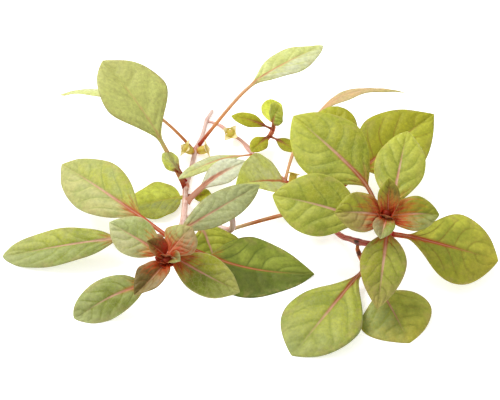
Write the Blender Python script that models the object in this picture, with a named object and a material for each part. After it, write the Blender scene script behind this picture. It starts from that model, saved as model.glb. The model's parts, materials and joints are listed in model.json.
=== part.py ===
"""A cut sprig of ludwigia lying on a table, in metres with +Z up.

A red-stemmed marsh plant that was grown above the water. One creeping stem forks near its cut end. Both
branches lie on the table, and their growing tips rise and carry a rosette of paired leaves. Every stem, leaf,
bud and seed capsule is a solid of its own. Lengths below are in millimetres and angles in degrees; the helper
functions turn them into metres.

A leaf is placed by how far along its stem it grows and by where its tip lies. The arch is how far it bends
down on the way, the turn is how far it bends to its left, the roll lifts the left edge of its blade, and the
fold lifts both edges above the midrib. A knee is a bend where the stalk meets the blade.
"""

import math
from collections import namedtuple

import bmesh
import bpy
from mathutils import Matrix, Vector

MM = 0.001

# Where the middle of the sprig's outline lies, in the frame of the routes and tips below
SPRIG_MIDDLE = (-0.56, 6.69)

# Stems
STEM_WIDTH = 1.5
SHOOT_WIDTH = 1.0
LINK_WIDTH = 0.75
STEM_STEP = 2.2
STEM_BEVEL = 2
NODE_SWELL = 0.25
NODE_REACH = 1.1

# Leaves
BLADE_THICKNESS = 0.45
STALK_WIDTH = 1.0
STALK_ROWS = 2
BLADE_ROWS = 8
BLADE_COLUMNS = 4
SMALL_LEAF_WIDTH = 6.5
SMALL_LEAF_COLUMNS = 2
SMALL_BLADE_ROWS = 6
BEND_STEPS = 48
KNEE_SPAN = 0.3

# Points closer than this are one, in metres
MERGE_GAP = 0.01 * MM

# The table under the sprig
TABLE_BLEND = 0.6
TABLE_FLAT = 0.12

# Gap left where one piece grows from another
JOINT_GAP = 0.35

# Seed capsules: for each ring, the radius on the four ridges, between them, and how far along it lies
CAPSULE_RINGS = (
    (0.30, 0.30, 0.0),
    (0.85, 0.70, 0.5),
    (1.15, 0.90, 1.5),
    (1.15, 0.95, 2.5),
    (2.20, 0.95, 3.2),
    (2.05, 0.80, 3.6),
)
CAPSULE_SIDES = 8

BUD_SIZE = (1.1, 2.2)
BUD_SIDES = 8
BUD_RINGS = 6

Stem = namedtuple("Stem", "route start_width end_width nodes colour")
Leaf = namedtuple(
    "Leaf", "stem at tip width stalk outline arch turn roll fold colour knee_down knee_left", defaults=(0, 0))
Fruit = namedtuple("Fruit", "stem at top")
Outline = namedtuple("Outline", "widest base_bow base_wedge tip_bow tip_blunt")

COLOURS = {
    "pink_stem": (0.55, 0.33, 0.31),
    "red_stem": (0.42, 0.06, 0.04),
    "orange_stem": (0.60, 0.22, 0.08),
    "pale_leaf": (0.58, 0.62, 0.18),
    "green_leaf": (0.34, 0.44, 0.12),
    "sage_leaf": (0.30, 0.38, 0.17),
    "dark_leaf": (0.13, 0.21, 0.05),
    "red_leaf": (0.36, 0.14, 0.08),
    "capsule": (0.48, 0.44, 0.07),
}
LEAF_ROUGHNESS = 0.45

# Routes of the stems' centre lines, from the cut end or the fork to the tip, and how far along each its
# swollen nodes lie
STEMS = {
    "left_stem": Stem(
        [(-10, 41.5, 0.5), (-11.5, 37, 0.7), (-12.5, 31, 0.8), (-14, 25.5, 0.9), (-15, 18, 0.9),
         (-16, 11.5, 1.1), (-16, 4, 2.0), (-16, -4, 5.0), (-16.5, -13, 9.0), (-18, -21, 13),
         (-18.3, -26.6, 16.4)],
        SHOOT_WIDTH, STEM_WIDTH, (4.7, 16.5, 30.7, 55.0), "pink_stem"),
    "right_stem": Stem(
        [(-10, 36.4, 0.7), (-7.5, 34.8, 0.7), (-4.7, 31.5, 0.7), (-2.2, 29, 0.8), (0, 25.2, 0.9),
         (3, 20.5, 0.9), (9, 13.5, 1.0), (15, 4, 1.5), (21, -7, 3.7), (23.6, -10.2, 5.2),
         (26.2, -12.4, 6.3), (29.7, -14.2, 7.9), (31.8, -14.8, 10.8), (31.8, -14.8, 14.2),
         (31, -15.1, 17.8)],
        LINK_WIDTH, STEM_WIDTH, (3.3, 16.5, 32.0, 61.0), "red_stem"),
    "front_branch": Stem(
        [(25.2, -12.7, 4.4), (25.8, -14.8, 4.0), (26.5, -17.3, 3.5), (27.2, -19.5, 3.1)],
        SHOOT_WIDTH, SHOOT_WIDTH, (1.5, 6.0), "orange_stem"),
    "back_shoot": Stem(
        [(1.4, 25.2, 1.4), (2.3, 25.6, 2.0), (3.9, 26.5, 3.0), (5.2, 27.5, 4.2), (5.9, 28, 5.6),
         (6.2, 28.2, 6.8)],
        SHOOT_WIDTH, SHOOT_WIDTH, (6.0,), "red_stem"),
    "middle_shoot": Stem(
        [(-14.7, -1.6, 3.9), (-11, -2.6, 3.2), (-7.5, -4.2, 3.0), (-4.7, -5.8, 3.8), (-4.1, -5.8, 6.0),
         (-4.6, -4.8, 8.4)],
        SHOOT_WIDTH, STEM_WIDTH, (11,), "pink_stem"),
}

# Leaves in pairs, numbered from each growing tip down the stem
LEAVES = {
    "left_leaf_1a": Leaf("left_stem", 72, (-22.6, -25, 20.3), 4.6, 0.05, "oval", 8, 0, -10, 30, "red_leaf"),
    "left_leaf_1b": Leaf(
        "left_stem", 72, (-15.2, -28.5, 17.6), 3.2, 0.05, "oval", 30, 0, 20, 25, "sage_leaf"),
    "left_leaf_2a": Leaf(
        "left_stem", 70.5, (-12.8, -20, 19.5), 9.4, 0.06, "oval", 16, 0, 0, 0, "sage_leaf"),
    "left_leaf_2b": Leaf(
        "left_stem", 70.5, (-25.1, -35.2, 14), 7.7, 0.1, "oval", 13, -24, 3, 25, "red_leaf", 0, -25),
    "left_leaf_3a": Leaf(
        "left_stem", 68, (-31.8, -16.1, 17), 9.4, 0.11, "oval", 5, -4, -26, 5, "sage_leaf", 0, -30),
    "left_leaf_3b": Leaf(
        "left_stem", 68, (-2.2, -29.2, 8), 9.7, 0.06, "oval", -7, 0, 19, 0, "green_leaf", 0, 15),
    "left_leaf_4a": Leaf(
        "left_stem", 65, (-40, -30.2, -0.4), 9.4, 0.33, "round", 10, 31, -30, 0, "green_leaf", -20, -46),
    "left_leaf_4b": Leaf(
        "left_stem", 65, (2.3, 1.1, 12), 7.8, 0.15, "oval", 13, 9, 25, 0, "sage_leaf", 0, -41),
    "left_leaf_5a": Leaf(
        "left_stem", 60, (-46.3, 11.4, 9), 13.9, 0.26, "oval", 20, -9, -22, 0, "pale_leaf"),
    "left_leaf_5b": Leaf(
        "left_stem", 60, (15.2, -17.1, 0.5), 15.4, 0.25, "egg", -30, 4, 25, 0, "dark_leaf"),
    "left_leaf_6a": Leaf(
        "left_stem", 55, (-59, -11, -0.4), 9.8, 0.39, "round", 11, 0, -15, 0, "green_leaf"),
    "left_leaf_6b": Leaf(
        "left_stem", 48, (-6, -20.2, -0.4), 15, 0.2, "egg", 10, 0, 0, 0, "green_leaf", 5, -60),
    "left_leaf_7": Leaf("left_stem", 37, (-0.5, 14.5, 7), 6.5, 0.25, "oval", 24, -12, 10, 5, "pale_leaf"),
    "left_leaf_8a": Leaf(
        "left_stem", 31.3, (-36.8, 33.3, 24), 18.7, 0.37, "wedge", 32, 0, 6, 12, "pale_leaf"),
    "left_leaf_8b": Leaf(
        "left_stem", 34.6, (-31, 5.2, -0.4), 12.4, 0.05, "broad", 8, 0, 0, 5, "green_leaf"),
    "left_leaf_8c": Leaf("left_stem", 29.8, (-22.7, 17.3, 7), 4.8, 0.45, "oval", 16, 0, -10, 0, "red_leaf"),
    "left_leaf_8d": Leaf("left_stem", 34, (-9.3, 6.5, 3), 4, 0.2, "oval", 8, 0, 10, 0, "green_leaf"),
    "left_leaf_9a": Leaf("left_stem", 17, (-49.7, 37.7, 9), 6.5, 0.35, "oval", 74, 0, 32, 0, "pale_leaf"),
    "left_leaf_9b": Leaf(
        "left_stem", 15.3, (19.7, 54.7, 12), 10.3, 0.43, "wedge", 23, 0, -3, 0, "pale_leaf", 22, 3),
    "right_leaf_1a": Leaf(
        "right_stem", 78, (31.3, -9.8, 24.8), 5.4, 0.05, "oval", 16, 0, 0, 20, "dark_leaf"),
    "right_leaf_1b": Leaf(
        "right_stem", 78, (29, -21.8, 17.5), 5.2, 0.05, "oval", 32, 0, 0, 15, "sage_leaf"),
    "right_leaf_2a": Leaf(
        "right_stem", 77, (18.9, -16.1, 20), 9.4, 0.08, "oval", 19, 0, -32, 8, "green_leaf", 0, 15),
    "right_leaf_2b": Leaf(
        "right_stem", 77, (42.8, -15, 18.2), 8.2, 0.05, "oval", 18, 0, 30, 8, "green_leaf", 0, -7),
    "right_leaf_3a": Leaf("right_stem", 75, (37.3, 9.1, 22), 11.8, 0.13, "oval", 16, 0, 0, 0, "green_leaf"),
    "right_leaf_3b": Leaf(
        "right_stem", 75, (28.4, -32.4, 6), 10.3, 0.12, "oval", 20, 0, 0, 0, "green_leaf"),
    "right_leaf_4a": Leaf("right_stem", 72, (5.2, -5, 14.6), 15, 0.21, "oval", 18, 0, -30, 0, "green_leaf"),
    "right_leaf_4b": Leaf(
        "right_stem", 71, (57.9, -16.1, 4), 17.3, 0.29, "oval", -4, -10, 24, 0, "green_leaf", 0, -9),
    "right_leaf_5": Leaf(
        "right_stem", 70, (10.5, 16.8, 20), 16.9, 0.33, "oval", 16, 0, -19, 0, "green_leaf", 0, 23),
    "right_leaf_6": Leaf("right_stem", 43.5, (45.9, 23.3, 15), 18.1, 0.4, "egg", 14, 0, 20, 0, "pale_leaf"),
    "right_leaf_7": Leaf("right_stem", 45, (21.9, 25.1, 16), 12.5, 0.3, "blunt", 14, 0, 0, 0, "pale_leaf"),
    "right_leaf_8a": Leaf(
        "right_stem", 29.5, (39.8, 31.8, 15), 8, 0.56, "oval", 18, -16, -29, 0, "red_leaf", 36, -34),
    "right_leaf_8b": Leaf("right_stem", 31, (-3.5, 3, 10), 15, 0.06, "egg", 16, 0, -10, 25, "pale_leaf"),
    "right_leaf_9": Leaf("right_stem", 17, (-17.8, 9.2, 6), 4.5, 0.15, "oval", 20, 8, 0, 0, "green_leaf"),
    "front_leaf_a": Leaf(
        "front_branch", 6, (9.2, -40.8, -0.4), 19.1, 0.15, "oval", 6, -2, 8, 0, "green_leaf", 0, 14),
    "front_leaf_b": Leaf(
        "front_branch", 6, (35.6, -37.3, -0.4), 17, 0.28, "oval", 4, -12, 7, 0, "green_leaf", 0, 5),
    "back_leaf_1": Leaf("back_shoot", 8, (5.4, 38.4, 7), 5.6, 0.1, "round", 16, 0, 0, 0, "pale_leaf"),
    "back_leaf_2a": Leaf("back_shoot", 7, (-4.9, 30.6, 8), 4, 0.15, "oval", 20, 0, -20, 0, "green_leaf"),
    "back_leaf_2b": Leaf(
        "back_shoot", 7, (7.6, 28.3, 13.3), 6.5, 0.25, "blunt", 20, 0, 10, 0, "green_leaf"),
    "back_leaf_3a": Leaf("back_shoot", 5, (0.3, 21.3, 4), 4.5, 0.1, "oval", 16, 0, -10, 0, "pale_leaf"),
    "back_leaf_3b": Leaf("back_shoot", 5, (12, 21.8, 3.5), 3.5, 0.2, "oval", 16, 0, 20, 0, "pale_leaf"),
    "middle_leaf": Leaf("middle_shoot", 11, (18, -1, 7), 8, 0.6, "oval", 8, 0, 20, 0, "green_leaf"),
}

# Blade outlines: the widest place, how full and wedged the base is, and how full and blunt the tip is
OUTLINES = {
    "oval": Outline(0.5, 2.0, 1.15, 2.1, 0.9),
    "egg": Outline(0.4, 2.0, 0.8, 1.9, 1.0),
    "round": Outline(0.52, 2.0, 0.75, 2.3, 0.65),
    "blunt": Outline(0.55, 2.0, 0.7, 2.4, 0.5),
    "wedge": Outline(0.48, 1.6, 1.5, 2.1, 0.92),
    "broad": Outline(0.4, 2.0, 0.5, 2.0, 0.9),
}

FRUITS = {
    "left_capsule_a": Fruit("left_stem", 18, (-17.2, 23.6, 3.8)),
    "left_capsule_b": Fruit("left_stem", 17.5, (-7.4, 24.6, 3.6)),
    "right_capsule_a": Fruit("right_stem", 8, (-5, 29.5, 3)),
    "right_capsule_b": Fruit("right_stem", 35.5, (11, 13.8, 6)),
}


def smooth_route(points, step):
    """Points about a step apart on a smooth curve through the given points, ends included."""
    ends = [points[0] * 2 - points[1], *points, points[-1] * 2 - points[-2]]
    smooth = [points[0]]
    for before, here, there, after in zip(ends, ends[1:], ends[2:], ends[3:]):
        count = max(1, round((there - here).length / step))
        for i in range(1, count + 1):
            t = i / count
            smooth.append(0.5 * (
                2 * here + (there - before) * t + (2 * before - 5 * here + 4 * there - after) * t**2
                + (3 * here - before - 3 * there + after) * t**3))
    return smooth


def stem_route(stem):
    """A stem's centre line in the sprig's frame, with the distance of each point from its start."""
    points = smooth_route([Vector(point) for point in stem.route], STEM_STEP)
    run = [0.0]
    for here, there in zip(points, points[1:]):
        run.append(run[-1] + (there - here).length)
    return points, run


def stem_radius(stem, at, length):
    """Half the stem's width at a distance along it, with its swollen nodes."""
    radius = (stem.start_width + (stem.end_width - stem.start_width) * at / length) / 2
    swell = sum(math.exp(-(((at - node) / NODE_REACH) ** 2)) for node in stem.nodes)
    return radius * (1 + NODE_SWELL * swell)


def stem_place(stem, at):
    """The centre, the direction and the radius of a stem at a distance along it."""
    points, run = stem_route(stem)
    at = min(at, run[-1])
    i = next(i for i in range(1, len(run)) if run[i] >= at)
    along = (points[i] - points[i - 1]).normalized()
    return points[i - 1] + along * (at - run[i - 1]), along, stem_radius(stem, at, run[-1])


def on_skin(stem_name, at, heading):
    """Where a piece that leaves a stem in a direction starts, a joint gap off the stem's skin."""
    centre, along, radius = stem_place(STEMS[stem_name], at)
    slant = heading.normalized().dot(along)
    outward = (heading.normalized() - along * slant).normalized()
    return centre + outward * (radius + JOINT_GAP + abs(slant) * STALK_WIDTH / 2)


def metres(point):
    """A point of the sprig's frame in metres, with the sprig's middle on the Z axis."""
    return Vector((point[0] - SPRIG_MIDDLE[0], point[1] - SPRIG_MIDDLE[1], point[2])) * MM


def above_table(height, floor):
    """A height kept above the floor, with a soft bend where it would go through."""
    depth = height - floor
    if depth >= TABLE_BLEND:
        return height
    if depth <= -TABLE_BLEND:
        return floor
    return floor + (depth + TABLE_BLEND) ** 2 / (4 * TABLE_BLEND)


def blade_share(leaf, u):
    """Half the leaf's width at a share u of its length."""
    stalk = STALK_WIDTH / 2 * min(1, leaf.width / SMALL_LEAF_WIDTH)
    if u <= leaf.stalk:
        return stalk
    s = min(1, (u - leaf.stalk) / (1 - leaf.stalk))
    shape = OUTLINES[leaf.outline]
    if s < shape.widest:
        blade = (1 - (1 - s / shape.widest) ** shape.base_bow) ** shape.base_wedge
    else:
        blade = max(0, 1 - ((s - shape.widest) / (1 - shape.widest)) ** shape.tip_bow) ** shape.tip_blunt
    return max(stalk * (1 - s), leaf.width / 2 * blade)


def eased(share):
    """A share from 0 to 1, with a soft start and end."""
    share = min(1, max(0, share))
    return share * share * (3 - 2 * share)


def leaf_heading(leaf, u):
    """The direction of a leaf's midrib at a share u of its length: X ahead, Y left and Z up."""
    arch = eased(u) - 0.5
    knee = eased((u - leaf.stalk) / KNEE_SPAN + 0.5) - 0.5
    down = math.radians(leaf.arch * arch + leaf.knee_down * knee)
    left = math.radians(leaf.turn * arch + leaf.knee_left * knee)
    return Vector((math.cos(left) * math.cos(down), math.sin(left) * math.cos(down), -math.sin(down)))


class LeafForm:
    """The bent frame of one leaf, worked out from its foot, its tip and its bends."""

    def __init__(self, leaf):
        self.leaf = leaf
        tip = Vector(leaf.tip)
        self.foot = on_skin(leaf.stem, leaf.at, tip - stem_place(STEMS[leaf.stem], leaf.at)[0])
        chord = tip - self.foot
        self.midrib = [Vector((0, 0, 0))]
        for i in range(BEND_STEPS):
            self.midrib.append(self.midrib[-1] + leaf_heading(leaf, (i + 0.5) / BEND_STEPS))
        self.stride = chord.length / self.midrib[-1].length
        ahead = chord.normalized()
        left = Vector((0, 0, 1)).cross(ahead).normalized()
        straighten = self.midrib[-1].rotation_difference(Vector((1, 0, 0))).to_matrix()
        self.turn = Matrix((ahead, left, ahead.cross(left))).transposed() @ straighten

    def point(self, u, v, lift):
        """A point of the leaf: u from foot to tip, v from -1 at the right edge to 1, lift off the blade."""
        place = u * BEND_STEPS
        i = min(int(place), BEND_STEPS - 1)
        mid = self.midrib[i].lerp(self.midrib[i + 1], place - i) * self.stride
        along = leaf_heading(self.leaf, u)
        roll = math.radians(self.leaf.roll)
        side = Vector((0, math.cos(roll), math.sin(roll)))
        side = (side - along * side.dot(along)).normalized()
        face = along.cross(side)
        fold = math.radians(self.leaf.fold)
        out = blade_share(self.leaf, u) * v
        across = side * out * math.cos(fold) + face * (abs(out) * math.sin(fold) + lift)
        return self.foot + self.turn @ (mid + across)


def material(name):
    """One of the sprig's plain colours as a Principled material."""
    made = bpy.data.materials.get(name)
    if made is None:
        made = bpy.data.materials.new(name)
        made.use_nodes = True
        shader = made.node_tree.nodes["Principled BSDF"]
        shader.inputs["Base Color"].default_value = (*COLOURS[name], 1)
        shader.inputs["Roughness"].default_value = LEAF_ROUGHNESS
        shader.inputs["Metallic"].default_value = 0
    return made


def add_mesh(name, bm, colour, collection):
    """A mesh object from a bmesh, shaded smooth, with its faces pointing out."""
    bmesh.ops.recalc_face_normals(bm, faces=bm.faces)
    mesh = bpy.data.meshes.new(name)
    bm.to_mesh(mesh)
    bm.free()
    mesh.shade_smooth()
    mesh.materials.append(material(colour))
    collection.objects.link(bpy.data.objects.new(name, mesh))


def add_stem(name, stem, collection):
    """A stem as a round tube with swollen nodes and filled ends."""
    points, run = stem_route(stem)
    curve = bpy.data.curves.new(name, "CURVE")
    curve.dimensions = "3D"
    curve.bevel_depth = MM
    curve.bevel_resolution = STEM_BEVEL
    curve.use_fill_caps = True
    spline = curve.splines.new("POLY")
    spline.points.add(len(points) - 1)
    for knot, point, at in zip(spline.points, points, run):
        knot.co = (*metres(point), 1)
        knot.radius = stem_radius(stem, at, run[-1])
    curve.materials.append(material(stem.colour))
    collection.objects.link(bpy.data.objects.new(name, curve))


def add_leaf(name, leaf, collection):
    """A leaf as one closed sheet: its stalk runs on into the blade, and what meets the table lies flat."""
    form = LeafForm(leaf)
    small = leaf.width < SMALL_LEAF_WIDTH
    rows = STALK_ROWS + (SMALL_BLADE_ROWS if small else BLADE_ROWS)
    bm = bmesh.new()
    bmesh.ops.create_grid(
        bm, x_segments=rows, y_segments=SMALL_LEAF_COLUMNS if small else BLADE_COLUMNS, size=1)
    sheet = list(bm.verts)
    where = {vert: (row_share(leaf, rows, vert.co.x), vert.co.y) for vert in sheet}
    made = bmesh.ops.extrude_face_region(bm, geom=list(bm.faces))
    under = [item for item in made["geom"] if isinstance(item, bmesh.types.BMVert)]
    flat = {vert.co.to_tuple(4): where[vert] for vert in sheet}
    for vert in under:
        place_vert(vert, form, *flat[vert.co.to_tuple(4)], -1)
    for vert in sheet:
        place_vert(vert, form, *where[vert], 1)
    bmesh.ops.remove_doubles(bm, verts=bm.verts, dist=MERGE_GAP)
    add_mesh(name, bm, leaf.colour, collection)


def row_share(leaf, rows, x):
    """The share of the leaf's length at a row of its grid, with the stalk's rows on the stalk."""
    row = round((x + 1) / 2 * rows)
    if row <= STALK_ROWS:
        return leaf.stalk * row / STALK_ROWS
    return leaf.stalk + (1 - leaf.stalk) * (row - STALK_ROWS) / (rows - STALK_ROWS)


def place_vert(vert, form, u, v, side):
    """Move a grid vertex to its place on the top (side 1) or the underside (side -1) of the leaf."""
    half = BLADE_THICKNESS / 2
    middle = form.point(u, v, 0)
    point = form.point(u, v, half * side)
    point.z += above_table(middle.z, half) - middle.z
    if point.z < TABLE_FLAT:
        point.z = 0
    vert.co = metres(point)


def add_fruit(name, fruit, collection):
    """A four-angled seed capsule that ends in a star of four sepals."""
    top = Vector(fruit.top)
    foot = on_skin(fruit.stem, fruit.at, top - stem_place(STEMS[fruit.stem], fruit.at)[0])
    axis = (top - foot).normalized()
    side = axis.orthogonal().normalized()
    bm = bmesh.new()
    bmesh.ops.create_circle(bm, cap_ends=True, segments=CAPSULE_SIDES, radius=1)
    face = bm.faces[:][0]
    for i, (ridge, valley, along) in enumerate(CAPSULE_RINGS):
        if i:
            face = bmesh.ops.extrude_discrete_faces(bm, faces=[face])["faces"][0]
        for j, vert in enumerate(face.verts):
            angle = 2 * math.pi * j / CAPSULE_SIDES
            out = side * math.cos(angle) + axis.cross(side) * math.sin(angle)
            vert.co = metres(foot + axis * along + out * (valley if j % 2 else ridge))
    bmesh.ops.holes_fill(bm, edges=bm.edges)
    add_mesh(name, bm, "capsule", collection)


def add_bud(name, stem_name, collection):
    """The unopened leaves at a growing tip, as one small egg."""
    points, _ = stem_route(STEMS[stem_name])
    along = (points[-1] - points[-2]).normalized()
    width, length = BUD_SIZE
    centre = points[-1] + along * (JOINT_GAP + length / 2)
    bm = bmesh.new()
    bmesh.ops.create_uvsphere(bm, u_segments=BUD_SIDES, v_segments=BUD_RINGS, radius=0.5)
    turn = Vector((0, 0, 1)).rotation_difference(along)
    for vert in bm.verts:
        egg = Vector((vert.co.x * width, vert.co.y * width, vert.co.z * length))
        vert.co = metres(centre + turn @ egg)
    add_mesh(name, bm, "red_leaf", collection)


def build():
    """Model the whole sprig."""
    for obj in list(bpy.data.objects):
        bpy.data.objects.remove(obj)
    collection = bpy.data.collections.new("ludwigia")
    bpy.context.scene.collection.children.link(collection)
    for name, stem in STEMS.items():
        add_stem(name, stem, collection)
    for name, leaf in LEAVES.items():
        add_leaf(name, leaf, collection)
    for name, fruit in FRUITS.items():
        add_fruit(name, fruit, collection)
    add_bud("left_bud", "left_stem", collection)
    add_bud("right_bud", "right_stem", collection)


build()
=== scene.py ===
"""The looks of a cut sprig of ludwigia that lies on a table, as a Blender add-on that also runs as a script.

Lengths in the tables are millimetres in the sprig's own frame, and angles are degrees. The stems follow the
routes that the solid model was built from. So do most leaves, and the others lie a few millimetres off their
solids. A leaf is placed by how far along its stem it grows and by where its tip lies. The arch is how far it
bends down on the way, the turn is how far it bends to its left, the roll lifts the left edge of its blade, and
the fold lifts both edges above the midrib. A knee is a bend where the stalk meets the blade.
"""

import json
import math
from collections import namedtuple
from functools import partial, reduce

import bmesh
import bpy
from bpy.props import FloatProperty, FloatVectorProperty, IntProperty, PointerProperty
from mathutils import Matrix, Vector

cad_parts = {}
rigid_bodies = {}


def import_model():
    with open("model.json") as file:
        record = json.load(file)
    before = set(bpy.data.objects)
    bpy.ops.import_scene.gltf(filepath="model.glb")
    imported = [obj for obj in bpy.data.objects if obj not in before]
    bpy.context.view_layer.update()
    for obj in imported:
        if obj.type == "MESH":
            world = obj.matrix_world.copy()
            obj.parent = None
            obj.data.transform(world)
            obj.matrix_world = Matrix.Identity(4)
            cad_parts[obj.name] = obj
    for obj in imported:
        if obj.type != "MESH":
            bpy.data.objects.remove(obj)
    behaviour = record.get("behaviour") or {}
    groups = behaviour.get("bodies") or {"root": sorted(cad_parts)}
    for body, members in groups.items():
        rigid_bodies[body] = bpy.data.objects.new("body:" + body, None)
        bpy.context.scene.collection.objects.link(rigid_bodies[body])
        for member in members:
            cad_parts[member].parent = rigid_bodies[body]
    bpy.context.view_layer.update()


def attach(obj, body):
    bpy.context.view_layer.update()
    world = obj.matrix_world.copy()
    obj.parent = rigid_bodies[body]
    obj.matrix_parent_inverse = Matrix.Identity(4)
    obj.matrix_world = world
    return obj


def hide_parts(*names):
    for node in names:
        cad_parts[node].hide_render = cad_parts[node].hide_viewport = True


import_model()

bl_info = {
    "name": "Ludwigia Sprig",
    "version": (1, 0, 0),
    "blender": (4, 5, 0),
    "location": "View3D > Sidebar > Sprig",
    "description": "Models a cut ludwigia sprig with veined leaves, stems, seed capsules and growing tips",
    "category": "Add Mesh",
}

MM = 0.001

# Where the middle of the sprig's outline lies, in the frame of the routes and tips below
SPRIG_MIDDLE = (-0.56, 6.69)

# Widths of the stems: the right one and the middle shoot, the left one's growing tip, the other shoots and
# the thin start of the right stem
STEM_WIDTH = 1.5
LEFT_TIP_WIDTH = 2.1
SHOOT_WIDTH = 1.0
LINK_WIDTH = 0.75
STEM_STEP = 0.3
# A node swells its stem by a share of the width, over a distance to each side
NODE_SWELL = 0.25
NODE_REACH = 1.1
# Four ridges run along stems and capsules; on a stem they rise by a share of its radius
RIDGES = 4
RIDGE_SHARE = 0.05
# A stem's end is rounded over a distance, and starts at a share of it
END_ROUNDING = 0.8
END_START = 0.25
# Both long stems redden between these two distances along them, towards their growing tips
TIP_BLUSH = (66, 71)
# How deep leaves and capsules start inside a stem, as a share of its radius measured from its centre
SUNK_SHARE = 0.55

# Leaf stalks: the width, thinner on leaves narrower than the next value, and the flare at the foot
STALK_WIDTH = 1.0
SMALL_LEAF_WIDTH = 6.5
STALK_FLARE = 0.45
STALK_FLARE_REACH = 1.2

# The bend of a leaf is summed up in steps, and a knee is spread over a share of the length
BEND_STEPS = 96
KNEE_SPAN = 0.3

# Leaves narrower than this have fewer faces, down to the least share of them
FULL_DETAIL_WIDTH = 20
LEAST_DETAIL = 0.45
STALK_ROW_SHARE = 0.2
COLUMN_CROWDING = 1.4

# Side veins leave the midrib, run out and bend towards the tip. Each wanders a little off its place, in two
# waves along the blade, the second also across it
VEIN_RISE = 0.15
VEIN_CURL = 0.2
VEIN_WANDER = 0.14
LONG_WAVE = 7
SHORT_WAVE = 11
CROSS_WAVE = 3
PHASES = 17

# Relief: leaves narrower than the first value have less of it, and it fades over shares of the blade's
# length at its ends and of its half width at the midrib and the edge
FULL_RELIEF_WIDTH = 12
FADE_AT_ENDS = 0.12
FADE_AT_RIB = 0.12
FADE_AT_EDGE = 0.35
GROOVE_SHARPNESS = 8
EDGE_WAVES = 2.3
LEFT_EDGE_SHIFT = 1.7
WAVE_START = 0.3
BULGE_START = 0.2

# Thickness: leaves narrower than the first value are thinner, so are a blade's narrow ends, and the rim is
# thinnest. The stalk flattens into the blade from a share before its foot, over a span. The midrib tapers while
# it stands out a little above the blade and more below it
FULL_THICKNESS_WIDTH = 9
NARROW_THICKNESS = 0.3
RIM_THICKNESS = 0.07
EDGE_THINNING = 0.6
FLATTEN_BEFORE = 0.05
FLATTEN_SPAN = 0.25
RIB_FOOT_WIDTH = 0.5
RIB_TAPER = 0.35
RIB_ABOVE = 0.05
RIB_BELOW = 0.3

# The table under the sprig: low leaves bend softly on to it
TABLE_BLEND = 0.6
TABLE_FLAT = 0.06

# Vertices that meet at a tip or a seam become one within these distances
TIP_WELD = 0.01
SEAM_WELD = 0.001

# Sizes of the patterns on leaves: patches of colour, clouds, mottle and the finest net of veins
PATCH_SIZE = 5.263
CLOUD_SIZE = 1.923
MOTTLE_SIZE = 0.8333
NET_SIZE = 1.0
CAPSULE_MOTTLE_SIZE = 0.7692
FINEST_RELIEF = 0.06

# The stage: the photograph's view looks down at the sprig from the front
VIEW_ELEVATION = 45
VIEW_DISTANCE = 300
VIEW_TARGET = (0, 0, 8)
LENS_MM = 90
SENSOR_MM = 36
FLOOR_HALF_METRES = 3
KEY_METRES = 0.35
KEY_PLACE_METRES = (-0.25, 0.2, 0.45)

Stem = namedtuple("Stem", "route start_width end_width nodes skin slot parent")
Leaf = namedtuple(
    "Leaf", "stem at tip width stalk outline arch turn roll fold finish slot knee_down knee_left",
    defaults=(0, 0))
Fruit = namedtuple("Fruit", "stem at top")
Outline = namedtuple("Outline", "widest base_bow base_wedge tip_bow tip_blunt foot stalk", defaults=(0, 1))
Finish = namedtuple(
    "Finish", "left right groove vein stalk rib rib_from blush reach spread edge glow broad", defaults=(1.0,))
Skin = namedtuple("Skin", "old fade_from fade_to light dark node streak scars_from")

# Routes of the stems' centre lines, from the cut end or the fork to the tip, and how far along each its
# swollen nodes lie
STEMS = {
    "left_stem": Stem(
        [(-10, 41.5, 0.5), (-11.5, 37, 0.7), (-12.5, 31, 0.8), (-14, 25.5, 0.9), (-15, 18, 0.9),
         (-16, 11.5, 1.1), (-16, 4, 2.0), (-16, -4, 5.0), (-16.5, -13, 9.0), (-18, -21, 13),
         (-18.3, -26.6, 16.4)],
        SHOOT_WIDTH, LEFT_TIP_WIDTH, (4.7, 16.5, 30.7, 55.0), "pink", "pink_stem", None),
    "right_stem": Stem(
        [(-10, 36.4, 0.7), (-7.5, 34.8, 0.7), (-4.7, 31.5, 0.7), (-2.2, 29, 0.8), (0, 25.2, 0.9),
         (3, 20.5, 0.9), (9, 13.5, 1.0), (15, 4, 1.5), (21, -7, 3.7), (23.6, -10.2, 5.2),
         (26.2, -12.4, 6.3), (29.7, -14.2, 7.9), (31.8, -14.8, 10.8), (31.8, -14.8, 14.2),
         (31, -15.1, 17.8)],
        LINK_WIDTH, STEM_WIDTH, (3.3, 13.1, 13.9, 14.7, 15.5, 32.0, 61.0), "red", "red_stem", "left_stem"),
    "front_branch": Stem(
        [(25.2, -12.7, 4.4), (25.8, -14.8, 4.0), (26.5, -17.3, 3.5), (27.2, -19.5, 3.1)],
        SHOOT_WIDTH, SHOOT_WIDTH, (1.5, 6.0), "scarred", "orange_stem", "right_stem"),
    "back_shoot": Stem(
        [(1.4, 25.2, 1.4), (2.3, 25.6, 2.0), (3.9, 26.5, 3.0), (5.2, 27.5, 4.2), (5.9, 28, 5.6),
         (6.2, 28.2, 6.8)],
        SHOOT_WIDTH, SHOOT_WIDTH, (6.0,), "orange", "red_stem", "right_stem"),
    "middle_shoot": Stem(
        [(-14.7, -1.6, 3.9), (-11, -2.6, 3.2), (-7.5, -4.2, 3.0), (-4.7, -5.8, 3.8), (-4.1, -5.8, 6.0),
         (-4.6, -4.8, 8.4)],
        SHOOT_WIDTH, STEM_WIDTH, (11,), "pink", "pink_stem", "left_stem"),
}

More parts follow.
